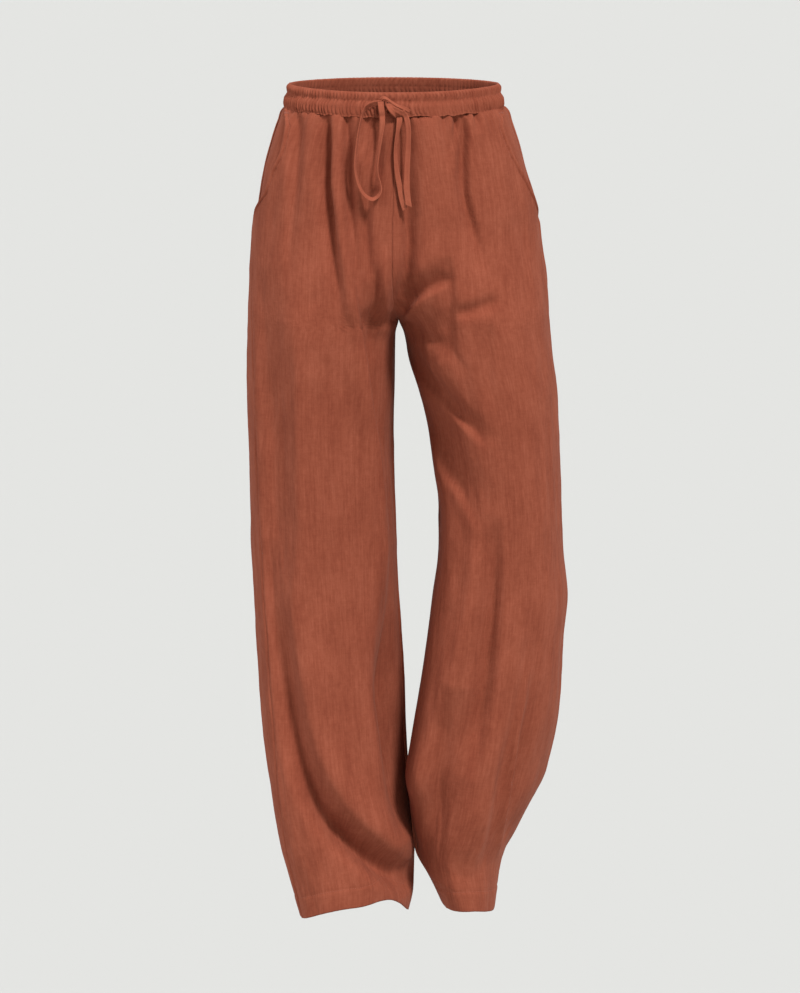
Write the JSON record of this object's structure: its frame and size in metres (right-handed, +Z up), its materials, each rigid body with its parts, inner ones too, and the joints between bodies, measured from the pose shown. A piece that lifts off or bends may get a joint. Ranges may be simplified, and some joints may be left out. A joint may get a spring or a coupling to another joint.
{
  "type": "linen drawstring trousers",
  "caption": "Wide leg linen trousers with a gathered elastic waistband, slant side pockets and a tied drawstring, hollow, as worn with no wearer.",
  "frame": {"origin": "middle of the waist opening, level with the waistband's rim over the side seams", "axes": "+Z up, from the hems to the waist; the front faces -Y; the wearer's left is at +X"},
  "size_m": [0.3999, 0.2636, 1.0551],
  "materials": {
    "linen": "matte plain weave with slubs",
    "linen_tie": "matte folded and stitched tape"
  },
  "bodies": {
    "root": {"front_right": "linen", "front_left": "linen", "back_right": "linen", "back_left": "linen", "waistband": "linen", "pocket_right": "linen", "pocket_left": "linen", "drawstring_loop": "linen_tie", "drawstring_end_a": "linen_tie", "drawstring_end_b": "linen_tie", "drawstring_knot": "linen_tie"}
  },
  "joints": []
}
